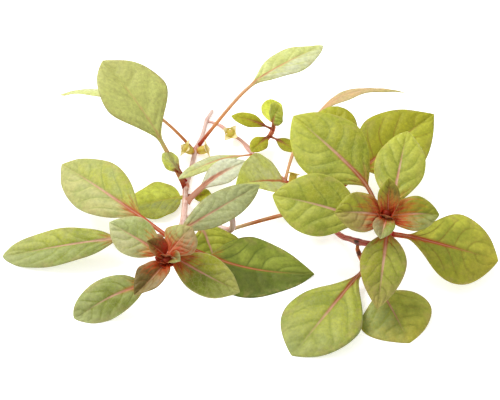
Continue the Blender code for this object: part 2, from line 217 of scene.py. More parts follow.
# Leaves in pairs, numbered from each growing tip down the stem: how far along the stem, the tip, the width,
# the share of the length that is stalk, the outline, the arch, turn, roll and fold, the finish, the record's
# slot and the knee. A leaf on a shoot names its stem first
LEFT_LEAVES = {
    "left_leaf_1a": (72, (-22.6, -25, 20.3), 5.6, 0.05, "sessile", 8, 0, -10, 30, "maroon", "red_leaf"),
    "left_leaf_1b": (72, (-15.2, -28.5, 17.6), 3.6, 0.05, "sessile", 30, 0, 20, 25, "curl", "sage_leaf"),
    "left_leaf_2a": (70.5, (-12.8, -20, 19.5), 9.4, 0.06, "seated", 16, 0, 0, 0, "pale_sage", "sage_leaf"),
    "left_leaf_2b": (70.5, (-25.1, -35.2, 14), 7.7, 0.1, "seated", 13, -24, 3, 25, "bronze_fold", "red_leaf",
        0, -25),
    "left_leaf_3a": (68, (-31.8, -16.1, 17), 9.2, 0.11, "seated", 5, -4, -26, 5, "warm_sage", "sage_leaf",
        0, -30),
    "left_leaf_3b": (68, (-2.2, -29.2, 8), 9.7, 0.06, "seated", -7, 0, 19, 0, "young_green", "green_leaf",
        0, 15),
    "left_leaf_4a": (65, (-40, -30.2, -0.4), 9.4, 0.33, "round", 10, 31, -30, 0, "grey_green", "green_leaf",
        -20, -46),
    "left_leaf_4b": (65, (2.3, 1.1, 12), 7.8, 0.15, "oval", 13, 9, 25, 0, "sage", "sage_leaf", 0, -41),
    "left_leaf_5a": (60, (-46.3, 11.4, 9), 13.9, 0.26, "oval", 20, -9, -22, 0, "warm_olive", "pale_leaf"),
    "left_leaf_5b": (60, (15.2, -17.1, 0.5), 15.4, 0.25, "egg", -30, 4, 25, 0, "dark", "dark_leaf"),
    "left_leaf_6a": (55, (-59, -11, -0.4), 9.8, 0.34, "round", 11, 0, -15, 0, "soft_green", "green_leaf"),
    "left_leaf_6b": (48, (-6, -20.2, -0.4), 15, 0.2, "egg", 10, 0, 0, 0, "two_tone", "green_leaf", 5, -60),
    "left_leaf_7": (37, (-0.5, 14.5, 7), 6.8, 0.25, "sail", 24, -12, 10, 5, "cream_pink", "pale_leaf"),
    "left_leaf_8a": (31.3, (-36.8, 33.3, 24), 18.9, 0.3, "spoon", 32, 0, 6, 12, "straw", "pale_leaf"),
    "left_leaf_8b": (34.6, (-31, 5.2, -0.4), 12.4, 0.05, "broad", 8, 0, 0, 5, "two_tone_yellow", "green_leaf"),
    "left_leaf_8c": (29.8, (-21.7, 14.6, 9.7), 4.8, 0.4, "bulb", 30, 0, -10, 0, "red_foot", "red_leaf"),
    "left_leaf_8d": (34, (-9.3, 6.5, 3), 4, 0.2, "oval", 8, 0, 10, 0, "moss", "green_leaf"),
    "left_leaf_9a": (17, (-49.7, 37.7, 9), 9, 0.35, "oval", 74, 0, 32, 0, "cream", "pale_leaf"),
    "left_leaf_9b": (15.3, (19.7, 54.7, 12), 10.3, 0.43, "wedge", 23, 0, -3, 0, "cream", "pale_leaf", 22, 3),
}
RIGHT_LEAVES = {
    "right_leaf_1a": (78, (31.3, -9.8, 24.8), 5.4, 0.05, "sessile", 16, 0, 0, 20, "bronze_dark", "dark_leaf"),
    "right_leaf_1b": (78, (29, -21.8, 17.5), 5.2, 0.05, "sessile", 32, 0, 0, 15, "pink_sage", "sage_leaf"),
    "right_leaf_2a": (77, (18.9, -16.1, 20), 9.4, 0.08, "sessile", 19, 0, -32, 8, "bronze_pink", "green_leaf",
        0, 15),
    "right_leaf_2b": (77, (42.8, -15, 18.2), 8.2, 0.05, "sessile", 18, 0, 30, 8, "bronze_orange", "green_leaf",
        0, -7),
    "right_leaf_3a": (75, (37.3, 9.1, 22), 11.8, 0.13, "oval", 16, 0, 0, 0, "light_green", "green_leaf"),
    "right_leaf_3b": (75, (28.4, -32.4, 6), 10.5, 0.12, "egg", 20, 0, 0, 0, "olive_red", "green_leaf"),
    "right_leaf_4a": (72, (5.2, -5, 14.6), 15, 0.21, "oval", 18, 0, -30, 0, "olive_left", "green_leaf"),
    "right_leaf_4b": (71, (57.9, -16.1, 4), 17.3, 0.12, "winged", -4, -10, 24, 0, "golden_red", "green_leaf",
        0, -9),
    "right_leaf_5": (70, (10.5, 16.8, 20), 16.9, 0.33, "oval", 16, 0, -19, 0, "olive_right", "green_leaf",
        0, 23),
    "right_leaf_6": (43.5, (45.9, 23.3, 15), 18.1, 0.4, "egg", 14, 0, 20, 0, "golden", "pale_leaf"),
    "right_leaf_7": (45, (21.9, 25.1, 16), 12.5, 0.3, "blunt", 14, 0, 0, 0, "lime", "pale_leaf"),
    "right_leaf_8a": (29.5, (40, 32.6, 14), 7.2, 0.44, "lance", 59, -73, -29, 0, "tan", "red_leaf", 1, 12),
    "right_leaf_8b": (31, (-3.5, 3, 10), 15, 0.06, "egg", 16, 0, -10, 25, "bright", "pale_leaf"),
    "right_leaf_9": (17, (-17.8, 9.2, 6), 4.5, 0.15, "oval", 20, 8, 0, 0, "cream", "green_leaf"),
}
SHOOT_LEAVES = {
    "front_leaf_a": ("front_branch", 6, (9.2, -40.8, -0.4), 19.1, 0.03, "winged", 6, -2, 8, 0, "front_green",
        "green_leaf", 0, 14),
    "front_leaf_b": ("front_branch", 6, (35.6, -37.3, -0.4), 17, 0.28, "oval", 4, -12, 7, 0, "deep_olive",
        "green_leaf", 0, 5),
    "back_leaf_1": ("back_shoot", 8, (5.4, 38.4, 7), 5.6, 0.1, "round", 16, 0, 0, 0, "lemon", "pale_leaf"),
    "back_leaf_2a": ("back_shoot", 7, (-4.9, 30.6, 8), 4, 0.15, "oval", 20, 0, -20, 0, "moss", "green_leaf"),
    "back_leaf_2b": ("back_shoot", 7, (7.6, 28.3, 13.3), 6.5, 0.25, "blunt", 20, 0, 10, 0, "moss_shade",
        "green_leaf"),
    "back_leaf_3a": ("back_shoot", 5, (0.3, 21.3, 4), 4.5, 0.1, "oval", 16, 0, -10, 0, "moss", "pale_leaf"),
    "back_leaf_3b": ("back_shoot", 5, (12, 21.8, 3.5), 3.5, 0.2, "oval", 16, 0, 20, 0, "moss", "pale_leaf"),
    "middle_leaf": ("middle_shoot", 11, (18, -1, 7), 8, 0.6, "oval", 8, 0, 20, 0, "orange_stalk", "green_leaf"),
}

# Blade outlines: where the blade is widest, how full and how wedged its base is, how full and how blunt its
# tip, how broadly a blade without a stalk sits on the stem, and how thick its stalk is
OUTLINES = {
    "oval": Outline(0.5, 2.0, 1.15, 2.1, 0.9),
    "egg": Outline(0.4, 2.0, 0.8, 1.9, 1.0),
    "round": Outline(0.52, 2.0, 0.75, 2.3, 0.65),
    "blunt": Outline(0.55, 2.0, 0.7, 2.4, 0.5),
    "wedge": Outline(0.48, 1.6, 1.5, 2.1, 0.92),
    "broad": Outline(0.4, 2.0, 0.5, 2.0, 0.9),
    "spoon": Outline(0.52, 1.9, 2.3, 2.1, 0.92, 0, 1.2),
    "lance": Outline(0.34, 1.6, 1.1, 1.45, 1.1, 0, 1.5),
    "sail": Outline(0.5, 2.0, 1.5, 2.1, 0.9, 0, 1.6),
    "winged": Outline(0.58, 1.9, 1.8, 2.1, 0.9, 0, 1.25),
    "bulb": Outline(0.52, 2.0, 1.0, 2.1, 0.8, 0, 2.0),
    "seated": Outline(0.5, 2.0, 0.95, 2.0, 1.0, 0.22),
    "sessile": Outline(0.5, 2.0, 1.0, 2.0, 0.95, 0.42),
}

CAPSULES = {
    "left_capsule_a": Fruit("left_stem", 18, (-17.2, 23.6, 3.8)),
    "left_capsule_b": Fruit("left_stem", 17.5, (-7.4, 24.6, 3.6)),
    "right_capsule_a": Fruit("right_stem", 8, (-5, 29.5, 3)),
    "right_capsule_b": Fruit("right_stem", 32, (12, 17, 6)),
}

# Seed capsules: for each ring, the radius on the four ridges, between them, and how far along it lies
CAPSULE_RINGS = (
    (0.25, 0.25, -0.5), (0.30, 0.28, 0.0), (0.75, 0.62, 0.35), (1.02, 0.82, 1.0), (1.12, 0.92, 1.8),
    (1.10, 0.93, 2.5), (1.12, 0.95, 2.9), (0.98, 0.88, 3.05), (0.60, 0.55, 3.1), (0.20, 0.20, 3.2),
)
CAPSULE_SIDES = 32

# Sepals: rows and columns, size, how pointed they are and how they thin out, how far they bend down and cup,
# their lean from the capsule's axis, and where they grow, along it and out from it
SEPAL_ROWS = 8
SEPAL_COLUMNS = 6
SEPAL_LENGTH = 1.6
SEPAL_WIDTH = 2.2
SEPAL_HALF_DEPTH = 0.09
SEPAL_POINT = 0.8
SEPAL_TAPER = 0.7
SEPAL_BEND = 0.25
SEPAL_CUP = 0.15
SEPAL_SPREAD = 72
SEPAL_FOOT = (2.75, 0.85)

# Buds: the egg of unopened leaves with its taper and where its middle lies along it, and the leaflets round it,
# with their tips by turns close and spread, up from the stem's end and out from it
BUDS = {"left_bud": "left_stem", "right_bud": "right_stem"}
EGG_WIDTH = 2.0
EGG_LENGTH = 2.2
EGG_TAPER = 0.5
EGG_MIDDLE = 0.45
LEAFLETS = 4
LEAFLET_WIDTH = 3.2
LEAFLET_FOOT = 0.5
LEAFLET_TIPS = ((2.5, 1.1), (2.1, 1.6))
LEAFLET_DETAIL = 0.4

# Named colours of the living plant
PALETTE = {
    "cream": ("#DEE19B", "Thin pale leaf with light behind it"),
    "ivory": ("#DDDFC0", "Thin leaf, almost white"),
    "lemon": ("#E9EC7C", "Brightest young leaf"),
    "straw": ("#CED07C", "Pale yellow leaf in full light"),
    "lime": ("#CDCE4A", "Bright yellow-green blade"),
    "warm_olive": ("#BFBB78", "Pale leaf with a warm tinge"),
    "soft_green": ("#9CA468", "Pale leaf with a grey-green tinge"),
    "light_green": ("#B3B548", "Light green blade"),
    "fresh_green": ("#A8B244", "Light between two side veins"),
    "sage": ("#B3B67E", "Greyish light green blade"),
    "warm_sage": ("#B7B27C", "Greyish green with a warm tinge"),
    "grey_green": ("#A3AB5E", "Greyish green blade"),
    "olive": ("#A2A22E", "Usual olive green blade"),
    "leaf_green": ("#89922C", "Full green blade"),
    "deep_olive": ("#787F20", "Shade in an olive blade"),
    "dark_green": ("#727F2A", "Dark green blade"),
    "forest": ("#626C26", "Grooves of the darkest blade"),
    "golden": ("#B4B030", "Yellow blade with light through it"),
    "honey": ("#B9A63C", "Warm yellow blade"),
    "moss": ("#CDC94A", "Small yellow-green leaves"),
    "bronze": ("#7E6A2A", "Young blade between green and red"),
    "brown": ("#5F4C1F", "Darkest young leaf tips"),
    "warm_tan": ("#B59C66", "Young blade between green and pink"),
    "tan": ("#D2BC8C", "Leaf seen from its side"),
    "pinkish": ("#AC865C", "Young blade flushed pink"),
    "peach": ("#E1B78A", "Pale stalk"),
    "pink_rib": ("#D0A687", "Pale pink midrib"),
    "orange": ("#C26A2A", "Orange midrib and stalk"),
    "rust": ("#A25528", "Brown-red side veins and stalks"),
    "ember": ("#CC6E22", "Glowing foot of a young leaf"),
    "red": ("#B84C1C", "Red leaf foot"),
    "maroon": ("#B4180A", "Heart of a growing tip"),
    "wine": ("#8A1A0C", "Deepest red"),
    "stem_pink": ("#CFA79A", "Mauve-pink stem"),
    "stem_mauve": ("#CDB0A6", "Old stem near the cut end"),
    "stem_white": ("#ECE0D6", "Pale streaks on the stem"),
    "stem_rose": ("#A9705C", "Darker side of the stem"),
    "stem_red": ("#A23824", "Deep red stem"),
    "scar": ("#2E1E14", "Dry scar where a leaf fell"),
    "capsule": ("#C8AE3C", "Yellow-green seed capsule"),
    "sepal": ("#F2E4B0", "Cream sepal tip"),
    "spring": ("#C6C854", "Bright blade in full light"),
    "dun": ("#947F55", "Young blade between grey and pink"),
    "salmon": ("#D39A80", "Broad pink midrib of a pale leaf"),
    "flame": ("#D83C10", "Brightest red at the heart"),
    "amber": ("#E0A468", "Pale orange stalk"),
    "milk": ("#E6E8D2", "Thin leaf with the light table behind it"),
    "mist": ("#C9CD98", "Greyish blade in full light"),
}

# The finishes of the leaves: left and right half, which differ partly as painted light on the lit half, grooves,
# whose colour is painted shade and also darkens random patches, side veins, stalk and midrib, how far along the
# midrib has its own colour, the red flush with how far along and how far out it goes, the edge, partly a painted
# highlight on the rim, how much light comes through, and how broad the midrib is
FINISHES = {
    "maroon": ("bronze", "bronze", "brown", "brown", "maroon", "red", 0.2, "maroon", 1.0, 1.0, "bronze", 0.25),
    # The heart's flame edge paints bright highlights on the rims of the bud's leaflets
    "heart": ("maroon", "maroon", "wine", "wine", "wine", "flame", 0.2, "wine", 0.6, 1.0, "flame", 0.3),
    "curl": ("bronze", "leaf_green", "brown", "olive", "maroon", "sage", 0.4, "maroon", 0.8, 0.9, "sage", 0.12),
    "pink_sage": ("leaf_green", "dun", "bronze", "warm_tan", "red", "pink_rib", 0.5, "rust", 0.5, 0.6, "sage",
        0.12),
    "pale_sage": ("grey_green", "dun", "dun", "bronze", "red", "pinkish", 0.5, "red", 0.7, 0.9, "warm_tan",
        0.12),
    "bronze_fold": ("dun", "brown", "brown", "rust", "red", "pinkish", 0.4, "red", 0.62, 0.9, "bronze", 0.12),
    "bronze_dark": ("olive", "bronze", "brown", "brown", "red", "orange", 0.5, "ember", 0.75, 1.0, "olive",
        0.15),
    "bronze_pink": ("warm_tan", "olive", "bronze", "pinkish", "red", "pink_rib", 0.4, "red", 0.55, 0.8, "olive",
        0.15),
    "bronze_orange": ("olive", "sage", "deep_olive", "olive", "ember", "pink_rib", 0.5, "ember", 0.7, 0.9,
        "olive", 0.2),
    "young_green": ("olive", "leaf_green", "deep_olive", "warm_tan", "red", "pink_rib", 0.35, "red", 0.35, 0.7,
        "warm_olive", 0.16),
    "warm_sage": ("warm_sage", "grey_green", "grey_green", "olive", "red", "pink_rib", 0.35, "ember", 0.34, 0.9,
        "mist", 0.18),
    # Painted sheen: the greyish mist halves stand for the sheen on this blade and are brighter than its own
    # colour
    "sage": ("mist", "mist", "sage", "grey_green", "orange", "pink_rib", 0.2, "orange", 0.1, 0.5, "grey_green",
        0.35),
    "grey_green": ("grey_green", "grey_green", "deep_olive", "leaf_green", "orange", "pink_rib", 0.4, "orange",
        0.15, 0.4, "sage", 0.2),
    "front_green": ("light_green", "light_green", "leaf_green", "leaf_green", "rust", "pink_rib", 0.55, "rust",
        0.12, 0.3, "soft_green", 0.22, 1.7),
    "soft_green": ("grey_green", "light_green", "leaf_green", "olive", "pinkish", "pink_rib", 0.1, "orange",
        0.08, 0.4, "sage", 0.22),
    "warm_olive": ("warm_olive", "light_green", "grey_green", "leaf_green", "red", "pink_rib", 0.35, "red",
        0.16, 0.4, "warm_olive", 0.2, 1.2),
    "straw": ("straw", "straw", "straw", "straw", "amber", "straw", 0.0, "amber", 0.12, 0.4, "warm_olive", 0.35,
        1.9),
    "dark": ("fresh_green", "forest", "dark_green", "forest", "red", "orange", 0.1, "orange", 0.06, 0.3,
        "dark_green", 0.14),
    "two_tone": ("spring", "spring", "leaf_green", "olive", "pink_rib", "pink_rib", 0.1, "orange", 0.03, 0.3,
        "light_green", 0.5),
    # Painted light on the folded blade: lemon on the half that faces the light, greyish sage on the half turned
    # away
    "two_tone_yellow": ("sage", "lemon", "spring", "lemon", "lime", "spring", 0.1, "lime", 0.05, 0.5, "lime",
        0.6),
    "cream_pink": ("milk", "milk", "ivory", "ivory", "salmon", "salmon", 0.1, "salmon", 0.1, 0.3, "milk", 0.45,
        2.4),
    "cream": ("cream", "ivory", "straw", "straw", "amber", "peach", -0.3, "peach", 0.1, 0.5, "cream", 0.4),
    # Painted light: pale colours brighter than this blade's own make up for the shade it lies in
    "bright": ("ivory", "ivory", "cream", "cream", "salmon", "salmon", 0.1, "salmon", 0.08, 0.4, "lemon", 0.9,
        1.6),
    # Painted light: the lemon blade is brighter than its own colour to make up for the shade of the big leaf
    # above
    "red_foot": ("lemon", "lemon", "ivory", "cream", "maroon", "cream", 0.1, "maroon", 0.32, 1.0, "cream", 0.6),
    # Painted light: moss yellow is brighter than these small leaves' own colour to make up for the shade they
    # lie in
    "moss": ("moss", "moss", "golden", "golden", "rust", "honey", 0.4, "rust", 0.1, 0.6, "lime", 0.6),
    "lemon": ("lemon", "lemon", "lemon", "lemon", "orange", "lemon", 0.2, "orange", 0.05, 0.8, "lemon", 0.7),
    "lime": ("lime", "golden", "golden", "lemon", "orange", "lime", 0.2, "orange", 0.1, 0.5, "golden", 0.4),
    "light_green": ("light_green", "light_green", "leaf_green", "leaf_green", "orange", "pink_rib", 0.3,
        "orange", 0.2, 0.5, "lime", 0.22, 1.2),
    "olive_left": ("light_green", "olive", "leaf_green", "deep_olive", "rust", "pink_rib", 0.3, "red", 0.1, 0.3,
        "spring", 0.22, 1.2),
    "olive_right": ("light_green", "olive", "leaf_green", "deep_olive", "rust", "pink_rib", 0.45, "rust", 0.14,
        0.4, "lime", 0.2, 1.6),
    "olive_red": ("light_green", "olive", "leaf_green", "bronze", "red", "pink_rib", 0.35, "red", 0.16, 0.6,
        "warm_tan", 0.2, 1.3),
    "orange_stalk": ("olive", "olive", "deep_olive", "soft_green", "tan", "orange", -0.6, "orange", 0.1, 0.4,
        "golden", 0.2),
    "deep_olive": ("light_green", "grey_green", "leaf_green", "light_green", "rust", "pinkish", 0.2, "orange",
        0.08, 0.3, "honey", 0.2),
    "golden_red": ("lime", "olive", "leaf_green", "rust", "red", "rust", 0.7, "red", 0.16, 0.3, "honey", 0.2,
        1.3),
    "golden": ("golden", "lime", "olive", "rust", "orange", "rust", 0.3, "orange", 0.1, 0.3, "golden", 0.35),
    "tan": ("tan", "tan", "peach", "tan", "peach", "tan", 0.3, "peach", 0.3, 0.8, "straw", 0.4, 1.5),
    "moss_shade": ("fresh_green", "fresh_green", "leaf_green", "olive", "rust", "honey", 0.4, "rust", 0.2, 0.8,
        "golden", 0.25),
}

# The stems' skins: their colour near the cut end, how far along it changes, their lit and shaded colours
# further on, their nodes, their pale streaks, partly painted highlight, and how far along the nodes start to be
# scarred
FROM_START = -5
NEVER = 900
SKINS = {
    "pink": Skin("stem_mauve", 6, 22, "stem_pink", "stem_rose", "red", "stem_white", NEVER),
    "red": Skin("stem_pink", 14, 30, "stem_red", "wine", "maroon", "pink_rib", 40),
    "orange": Skin("orange", 0, 1, "orange", "red", "red", "pink_rib", NEVER),
    "scarred": Skin("orange", 0, 1, "orange", "red", "red", "pink_rib", FROM_START),
}


def hex_colour(code):
    """An sRGB hex colour as linear red, green and blue."""
    shares = [int(code[i:i + 2], 16) / 255 for i in (1, 3, 5)]
    return [share / 12.92 if share <= 0.04045 else ((share + 0.055) / 1.055) ** 2.4 for share in shares]


class SprigSizes(bpy.types.PropertyGroup):
    """Sizes of the sprig's fine surface."""

    blade_thickness: FloatProperty(
        name="Blade thickness", description="Thickness of a leaf blade beside its midrib, in millimetres",
        default=0.3, min=0.1, max=0.45)
    stalk_depth: FloatProperty(
        name="Stalk depth", description="Depth of a leaf stalk from its upper to its lower side, in millimetres",
        default=0.8, min=0.3, max=1.0)
    quilt_height: FloatProperty(
        name="Quilting", description="How far the blade swells between its side veins, in millimetres",
        default=0.24, min=0, max=0.6)
    groove_depth: FloatProperty(
        name="Vein grooves", description="How deep the side veins are sunk, in millimetres",
        default=0.17, min=0, max=0.3)
    bulge_share: FloatProperty(
        name="Bulge", description="How far each half of a blade bulges, as a share of its width",
        default=0.07, min=0, max=0.2)
    wave_height: FloatProperty(
        name="Edge waves", description="How far the leaf edges wave up and down, in millimetres",
        default=0.28, min=0, max=1)
    side_veins: IntProperty(
        name="Side veins", description="Side veins on each side of the midrib", default=5, min=3, max=10)
    blade_rows: IntProperty(
        name="Blade rows", description="Rows of faces along a full-grown leaf", default=84, min=24, max=120)
    blade_columns: IntProperty(
        name="Blade columns", description="Columns of faces across a full-grown leaf", default=28, min=8, max=48)
    stem_sides: IntProperty(
        name="Stem sides", description="Faces round a stem", default=24, min=8, max=48)


class SprigColours(bpy.types.PropertyGroup):
    """Colours of the living plant, each used by several finishes."""

    __annotations__ = {
        name: FloatVectorProperty(
            name=name.replace("_", " ").capitalize(), description=words, subtype="COLOR", size=3,
            default=hex_colour(code), min=0, max=1)
        for name, (code, words) in PALETTE.items()
    }


class SprigStage(bpy.types.PropertyGroup):
    """The light and the floor."""

    sky_strength: FloatProperty(
        name="Sky", description="Strength of the even white light from all round", default=0.74, min=0)
    key_power: FloatProperty(
        name="Key light", description="Power of the large soft light on the left", default=3.0, min=0,
        subtype="POWER")
    floor_glow: FloatProperty(
        name="Floor glow", description="How brightly the light table shines by itself", default=0.5, min=0)
    floor_colour: FloatVectorProperty(
        name="Floor", description="Colour of the pale floor", subtype="COLOR", size=3,
        default=hex_colour("#FAFAFA"), min=0, max=1)


def add_node(tree, kind, inputs=(), out=0, **settings):
    """Add a node with its settings, link or set its inputs, and return one of its outputs.

    The inputs are a tuple in the sockets' order or a dictionary. A word stands for a colour of the palette.
    """
    made = tree.nodes.new("ShaderNode" + kind)
    for key, value in settings.items():
        setattr(made, key, value)
    for key, value in inputs.items() if isinstance(inputs, dict) else enumerate(inputs):
        if isinstance(value, bpy.types.NodeSocket):
            tree.links.new(value, made.inputs[key])
        elif isinstance(value, str):
            made.inputs[key].default_value = (*getattr(bpy.context.scene.sprig_colours, value), 1)
        else:
            made.inputs[key].default_value = value
    return made.outputs[out] if made.outputs else made


def new_material(name):
    """An empty material, and add_node for its tree."""
    made = bpy.data.materials.new(name)
    made.use_nodes = True
    made.node_tree.nodes.clear()
    return made, partial(add_node, made.node_tree)


def soft_share(add, *steps):
    """How much of a layer shows: the product of soft steps.

    Each step has what it measures, where it starts and ends, and its values there.
    """
    shares = [add("MapRange", step, interpolation_type="SMOOTHSTEP") for step in steps]
    return reduce(lambda first, second: add("Math", (first, second), operation="MULTIPLY"), shares)


def leaf_material(name):
    """Living leaf of one finish: thin wax over veined green tissue.

    The wax gives a soft sheen that the net of veins breaks up. The tissue lets some light through, so thin
    blades glow.
    """
    found = bpy.data.materials.get("leaf_" + name)
    if found:
        return found
    finish = Finish(*FINISHES[name])
    made, add = new_material("leaf_" + name)
    spot = add("Attribute", out=1, attribute_name="place")
    along, across, distance = (add("SeparateXYZ", (spot,), i) for i in range(3))
    out_share = add("Math", (across,), operation="ABSOLUTE")
    phase = add("Attribute", out=2, attribute_name="vein")
    under = add("Attribute", out=2, attribute_name="under")
    place = add("TexCoord", out=3)
    patches = add("TexNoise", {"Vector": place, "Scale": 1 / (PATCH_SIZE * MM), "Detail": 2})
    clouds = add("TexNoise", {"Vector": place, "Scale": 1 / (CLOUD_SIZE * MM), "Detail": 3})
    mottle = add("TexNoise", {"Vector": place, "Scale": 1 / (MOTTLE_SIZE * MM), "Detail": 3, "Roughness": 0.6})
    net = add("TexVoronoi", {"Vector": place, "Scale": 1 / (NET_SIZE * MM)}, feature="DISTANCE_TO_EDGE")

    # From 0 halfway between two side veins to 0.5 on a vein
    near = add("Math", (phase,), operation="FRACT")
    near = add("Math", (near, 0.5), operation="SUBTRACT")
    near = add("Math", (near,), operation="ABSOLUTE")

    # Red spreads from the leaf's foot in fine strokes that run along the leaf, others on each leaf
    stretched = add("VectorMath", (spot, (2.5, 12, 0)), operation="MULTIPLY")
    leaf_by_leaf = add("Math", (add("SeparateXYZ", (place,)), 60), operation="MULTIPLY")
    strokes = add(
        "TexNoise", {"Vector": stretched, "W": leaf_by_leaf, "Scale": 1, "Detail": 3}, noise_dimensions="4D")
    stroke_reach = 0.25 + 1.6 * finish.reach
    ragged = add("Math", (strokes, stroke_reach, -0.5 * stroke_reach), operation="MULTIPLY_ADD")
    ragged = add("Math", (near, -0.12, ragged), operation="MULTIPLY_ADD")
    start = add("Math", (along, ragged), operation="ADD")

    # The midrib is 0.8 mm wide at the foot of the blade and 0.2 mm near its tip
    rib_half = add("MapRange", (along, 0, 1, 0.36 * finish.broad, 0.08 * finish.broad))
    rib_side = add("Math", (distance, rib_half), operation="DIVIDE")

    # Only strong flushes have a dark core, and only red and pale orange stalks darken towards the stem
    core = 0.95 if finish.reach > 0.3 else 0
    stalk_foot = 0.85 if finish.stalk in ("red", "rust", "amber") else 0

    # Colours laid over the right half's, each with the soft steps of its share
    inner = ((along, 0, 0.1, 0, 1), (along, 0.75, 0.95, 1, 0))
    veined = ((out_share, 0.6, 0.98, 1, 0), *inner)
    blade = finish.right
    for over, *steps in (
            # The left half's colour over the right's: the halves differ partly in their own tone and partly as
            # painted light, the half turned to the light painted lighter
            (finish.left, (across, -0.15, 0.15, 0, 1)),
            (finish.groove, (patches, 0.42, 0.66, 0, 0.65)),
            (finish.edge, (clouds, 0.5, 0.72, 0, 0.25)),
            (finish.edge, (along, 0.45, 1, 0, 0.5)),
            # Painted shade: the groove colour darkens a band beside the midrib and the sunken side veins
            (finish.groove, (distance, 0.3, 1.3, 0.35, 0), *inner),
            (finish.groove, (near, 0.34, 0.49, 0, 0.45), *veined),
            (finish.edge, (net, 0, 0.13, 0.22, 0)),
            (finish.blush, (start, 0, finish.reach, 0.95, 0), (out_share, 0, 1, 1, finish.spread)),
            ("maroon", (start, -0.1, finish.reach * 0.6, core, 0)),
            # Side vein lines: partly the veins' own colour, partly painted shade where the line is darker than
            # the blade
            (finish.vein, (near, 0.455, 0.49, 0, 0.55), (along, 0.2, 0.9, 1, 0.3), *veined),
            # The rim: partly the pale margin's own colour, partly a painted highlight where the thick edge
            # catches light
            (finish.edge, (out_share, 0.93, 1, 0, 0.7)),
            ("warm_tan", (out_share, 0.6, 1, 0.05, 0.35), (clouds, 0.45, 0.62, 0, 1))):
        blade = add("Mix", {0: soft_share(add, *steps), 6: blade, 7: over}, 2, data_type="RGBA")
    brightness = add("MapRange", (mottle, 0.3, 0.7, 0.85, 1.13))
    colour = add("HueSaturation", {"Color": blade, "Value": brightness, "Hue": 0.505})

    rib_colour = finish.stalk
    for over, step in (
            (finish.rib, (along, finish.rib_from - 0.35, finish.rib_from + 0.1, 0, 1)),
            (finish.stalk, (clouds, 0.45, 0.65, 0, 0.35)),
            # Pale centre line: the midrib's own pale pink, and on the stalks a painted highlight along their
            # middle
            ("pink_rib", (rib_side, 0.05, 0.6, 0.5, 0))):
        rib_colour = add("Mix", {0: soft_share(add, step), 6: rib_colour, 7: over}, 2, data_type="RGBA")
    flame = soft_share(
        add, (start, -0.1, max(0.05, finish.rib_from + 0.1), 0.9, 0), (distance, 0.2, 0.9, 1, 0))
    rib = soft_share(add, (rib_side, 0.6, 1.15, 1, 0), (along, 0.35, 0.9, 1, 0.05))
    stalk = soft_share(add, (along, -0.06, 0.02, 1, 0))
    for over, share in (
            ("sage", add("Math", (under, 0.35), operation="MULTIPLY")),
            (finish.stalk, flame),
            (rib_colour, add("Math", (rib, stalk), operation="MAXIMUM")),
            ("maroon", soft_share(add, (along, -0.95, -0.6, stalk_foot, 0)))):
        colour = add("Mix", {0: share, 6: colour, 7: over}, 2, data_type="RGBA")

    relief = add("Math", (mottle, 0.7), operation="MULTIPLY")
    relief = add("Math", (relief, soft_share(add, (net, 0, 0.13, 1, 0))), operation="SUBTRACT")
    bump = add("Bump", {"Height": relief, "Strength": 0.5, "Distance": FINEST_RELIEF * MM})
    skin = add("BsdfPrincipled", {
        "Base Color": colour, "Roughness": add("MapRange", (clouds, 0.3, 0.7, 0.4, 0.55)), "IOR": 1.4,
        "Specular IOR Level": 0.35, "Normal": bump})
    through = add("BsdfTranslucent", {"Color": colour, "Normal": bump})
    add("OutputMaterial", (add("MixShader", (finish.glow, skin, through)),))
    return made


def stem_material(name):
    """Living stem: thin waxed skin with long pale streaks, red nodes and dry leaf scars.

    The wax on smooth round skin gives narrow highlights along the stem, and its pale streaks add painted
    highlight.
    """
    found = bpy.data.materials.get("stem_" + name)
    if found:
        return found
    skin = SKINS[name]
    made, add = new_material("stem_" + name)
    spot = add("Attribute", out=1, attribute_name="place")
    along, knot = (add("SeparateXYZ", (spot,), i) for i in (0, 2))

    # Streaks are 0.15 mm wide and many times as long: round the stem counts far more than along it
    stretched = add("VectorMath", (spot, (0.12, 9, 0)), operation="MULTIPLY")
    streaks = add("TexNoise", {"Vector": stretched, "Scale": 1.6, "Detail": 3})
    cloud = add("TexNoise", {"Vector": spot, "Scale": 0.35, "Detail": 2})
    colour = skin.light
    for over, *steps in (
            (skin.dark, (cloud, 0.4, 0.68, 0, 0.75)),
            (skin.node, (knot, 0.3, 0.95, 0, 0.8)),
            (skin.node, (along, *TIP_BLUSH, 0, 0.9)),
            (skin.old, (along, skin.fade_from, skin.fade_to, 0.8, 0)),
            # Pale streaks along the stem: partly the skin's own streaks, partly painted highlight
            (skin.streak, (streaks, 0.5, 0.66, 0, 1), (along, *TIP_BLUSH, 0.6, 0)),
            ("scar", (knot, 0.5, 0.85, 0, 1), (streaks, 0.42, 0.5, 0, 1),
             (along, skin.scars_from, skin.scars_from + 1, 0, 0.9))):
        colour = add("Mix", {0: soft_share(add, *steps), 6: colour, 7: over}, 2, data_type="RGBA")
    bump = add("Bump", {"Height": streaks, "Strength": 0.4, "Distance": FINEST_RELIEF * MM})
    add("OutputMaterial", (add("BsdfPrincipled", {
        "Base Color": colour, "Roughness": 0.3, "IOR": 1.45, "Specular IOR Level": 0.5, "Normal": bump}),))
    return made


